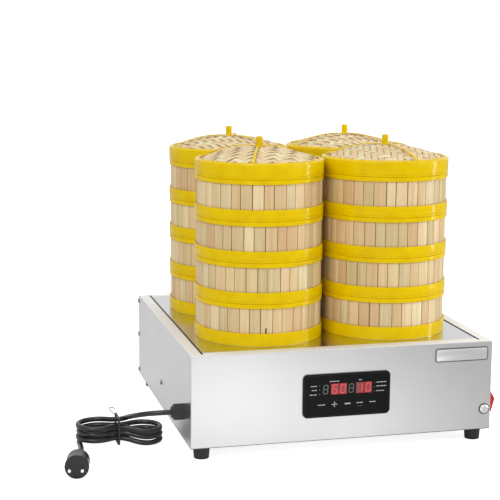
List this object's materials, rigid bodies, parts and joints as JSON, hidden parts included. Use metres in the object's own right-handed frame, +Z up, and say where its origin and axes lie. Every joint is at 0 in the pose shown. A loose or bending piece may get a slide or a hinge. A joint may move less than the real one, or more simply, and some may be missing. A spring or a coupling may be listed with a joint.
{
  "type": "dumpling steamer",
  "caption": "Countertop dumpling steamer: a steel steam base with a control panel and rocker switch under stacks of round bamboo baskets with yellow bands and woven lids.",
  "frame": {"origin": "middle of the steamer's footprint without its cord, on the ground under its feet", "axes": "+Z up, -Y out of the control panel, +X to the panel's right, where the rocker switch is"},
  "size_m": [0.7131, 0.5378, 0.4931],
  "materials": {
    "steel": "satin sheet",
    "deck_steel": "polished sheet",
    "chrome": "polished",
    "screw_steel": "bright",
    "foot_rubber": "matt",
    "panel_black": "gloss",
    "board_green": "matt",
    "badge_silver": "satin",
    "switch_dark_red": "satin",
    "rocker_red": "gloss",
    "gland_black": "satin",
    "cord_black": "matt",
    "tie_black": "satin",
    "bamboo": "smooth",
    "bamboo_weave": "woven strips",
    "yellow_plastic": "gloss"
  },
  "bodies": {
    "steam_base": {"cabinet_shell": "steel", "back_panel": "steel", "bottom_plate": "steel", "feet": "foot_rubber", "screws": "screw_steel", "water_tank": "steel", "heating_element": "chrome", "level_probe": "chrome", "control_fascia": "panel_black", "control_board": "board_green", "badge_plate": "badge_silver", "drain_fitting": "chrome", "switch_housing": "switch_dark_red", "cord_gland": "gland_black", "power_cord": "cord_black", "cord_hank": "cord_black", "cord_tie": "tie_black", "plug": "cord_black"},
    "rocker": {"switch_rocker": "rocker_red"},
    "deck": {"deck_plate": "deck_steel"},
    "basket_a1": {"basket_a1_bamboo": "bamboo", "basket_a1_bands": "yellow_plastic"},
    "basket_a2": {"basket_a2_bamboo": "bamboo", "basket_a2_bands": "yellow_plastic"},
    "basket_a3": {"basket_a3_bamboo": "bamboo", "basket_a3_bands": "yellow_plastic"},
    "basket_a4": {"basket_a4_bamboo": "bamboo", "basket_a4_bands": "yellow_plastic"},
    "lid_a": {"lid_a_weave": "bamboo_weave", "lid_a_frame": "yellow_plastic"},
    "basket_b1": {"basket_b1_bamboo": "bamboo", "basket_b1_bands": "yellow_plastic"},
    "basket_b2": {"basket_b2_bamboo": "bamboo", "basket_b2_bands": "yellow_plastic"},
    "basket_b3": {"basket_b3_bamboo": "bamboo", "basket_b3_bands": "yellow_plastic"},
    "basket_b4": {"basket_b4_bamboo": "bamboo", "basket_b4_bands": "yellow_plastic"},
    "lid_b": {"lid_b_weave": "bamboo_weave", "lid_b_frame": "yellow_plastic"},
    "basket_c1": {"basket_c1_bamboo": "bamboo", "basket_c1_bands": "yellow_plastic"},
    "basket_c2": {"basket_c2_bamboo": "bamboo", "basket_c2_bands": "yellow_plastic"},
    "basket_c3": {"basket_c3_bamboo": "bamboo", "basket_c3_bands": "yellow_plastic"},
    "basket_c4": {"basket_c4_bamboo": "bamboo", "basket_c4_bands": "yellow_plastic"},
    "lid_c": {"lid_c_weave": "bamboo_weave", "lid_c_frame": "yellow_plastic"},
    "basket_d1": {"basket_d1_bamboo": "bamboo", "basket_d1_bands": "yellow_plastic"},
    "basket_d2": {"basket_d2_bamboo": "bamboo", "basket_d2_bands": "yellow_plastic"},
    "basket_d3": {"basket_d3_bamboo": "bamboo", "basket_d3_bands": "yellow_plastic"},
    "basket_d4": {"basket_d4_bamboo": "bamboo", "basket_d4_bands": "yellow_plastic"},
    "lid_d": {"lid_d_weave": "bamboo_weave", "lid_d_frame": "yellow_plastic"}
  },
  "joints": [
    {"name": "rocker_tilt", "type": "hinge", "parent": "steam_base", "child": "rocker", "pos_m": [0.24661, -0.2142, 0.065], "axis": [0, 1, 0], "range_deg": [0, 16]},
    {"name": "deck_lift", "type": "slide", "parent": "steam_base", "child": "deck", "axis": [0, 0, 1], "range_m": [0, 0.06]},
    {"name": "basket_a1_lift", "type": "slide", "parent": "deck", "child": "basket_a1", "axis": [0, 0, 1], "range_m": [0, 0.08]},
    {"name": "basket_a2_lift", "type": "slide", "parent": "basket_a1", "child": "basket_a2", "axis": [0, 0, 1], "range_m": [0, 0.08]},
    {"name": "basket_a3_lift", "type": "slide", "parent": "basket_a2", "child": "basket_a3", "axis": [0, 0, 1], "range_m": [0, 0.08]},
    {"name": "basket_a4_lift", "type": "slide", "parent": "basket_a3", "child": "basket_a4", "axis": [0, 0, 1], "range_m": [0, 0.08]},
    {"name": "lid_a_lift", "type": "slide", "parent": "basket_a4", "child": "lid_a", "axis": [0, 0, 1], "range_m": [0, 0.09]},
    {"name": "basket_b1_lift", "type": "slide", "parent": "deck", "child": "basket_b1", "axis": [0, 0, 1], "range_m": [0, 0.08]},
    {"name": "basket_b2_lift", "type": "slide", "parent": "basket_b1", "child": "basket_b2", "axis": [0, 0, 1], "range_m": [0, 0.08]},
    {"name": "basket_b3_lift", "type": "slide", "parent": "basket_b2", "child": "basket_b3", "axis": [0, 0, 1], "range_m": [0, 0.08]},
    {"name": "basket_b4_lift", "type": "slide", "parent": "basket_b3", "child": "basket_b4", "axis": [0, 0, 1], "range_m": [0, 0.08]},
    {"name": "lid_b_lift", "type": "slide", "parent": "basket_b4", "child": "lid_b", "axis": [0, 0, 1], "range_m": [0, 0.09]},
    {"name": "basket_c1_lift", "type": "slide", "parent": "deck", "child": "basket_c1", "axis": [0, 0, 1], "range_m": [0, 0.08]},
    {"name": "basket_c2_lift", "type": "slide", "parent": "basket_c1", "child": "basket_c2", "axis": [0, 0, 1], "range_m": [0, 0.08]},
    {"name": "basket_c3_lift", "type": "slide", "parent": "basket_c2", "child": "basket_c3", "axis": [0, 0, 1], "range_m": [0, 0.08]},
    {"name": "basket_c4_lift", "type": "slide", "parent": "basket_c3", "child": "basket_c4", "axis": [0, 0, 1], "range_m": [0, 0.08]},
    {"name": "lid_c_lift", "type": "slide", "parent": "basket_c4", "child": "lid_c", "axis": [0, 0, 1], "range_m": [0, 0.09]},
    {"name": "basket_d1_lift", "type": "slide", "parent": "deck", "child": "basket_d1", "axis": [0, 0, 1], "range_m": [0, 0.08]},
    {"name": "basket_d2_lift", "type": "slide", "parent": "basket_d1", "child": "basket_d2", "axis": [0, 0, 1], "range_m": [0, 0.08]},
    {"name": "basket_d3_lift", "type": "slide", "parent": "basket_d2", "child": "basket_d3", "axis": [0, 0, 1], "range_m": [0, 0.08]},
    {"name": "basket_d4_lift", "type": "slide", "parent": "basket_d3", "child": "basket_d4", "axis": [0, 0, 1], "range_m": [0, 0.08]},
    {"name": "lid_d_lift", "type": "slide", "parent": "basket_d4", "child": "lid_d", "axis": [0, 0, 1], "range_m": [0, 0.09]}
  ]
}
